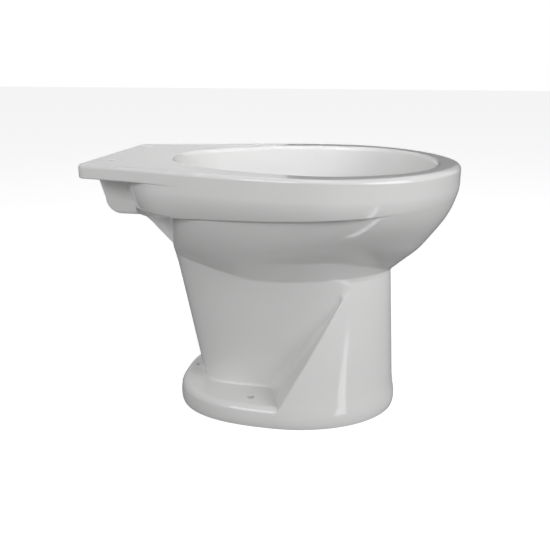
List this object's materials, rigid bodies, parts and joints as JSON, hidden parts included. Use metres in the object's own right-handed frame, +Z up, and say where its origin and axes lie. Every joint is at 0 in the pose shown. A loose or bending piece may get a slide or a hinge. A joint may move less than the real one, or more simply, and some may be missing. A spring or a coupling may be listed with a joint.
{
  "type": "toilet bowl",
  "caption": "Floor-standing ceramic toilet bowl with an egg-shaped rim, seat shelf, flush channel, sump, inner trapway, floor outlet, pedestal and screwed foot.",
  "frame": {"origin": "centre of the floor outlet's mouth, on the floor", "axes": "+X towards the front of the bowl, +Z up, +Y to the left of someone who sits on it"},
  "size_m": [0.5323, 0.3702, 0.385],
  "materials": {
    "white_glaze": "glossy white glaze",
    "inner_ceramic": "thinly glazed inner ware"
  },
  "bodies": {
    "root": {"rim_deck": "white_glaze", "rim_band": "white_glaze", "channel_floor_ring": "white_glaze", "rim_lip": "white_glaze", "inlet_box": "white_glaze", "bowl_casing": "white_glaze", "basin_liner": "white_glaze", "sump_well": "white_glaze", "trap_lower_bend": "inner_ceramic", "trap_riser": "inner_ceramic", "trap_crown": "inner_ceramic", "trap_drop_leg": "inner_ceramic", "outlet_horn": "inner_ceramic", "rear_rib": "white_glaze", "rear_column": "white_glaze", "front_column": "white_glaze", "foot_flange": "white_glaze"}
  },
  "joints": []
}
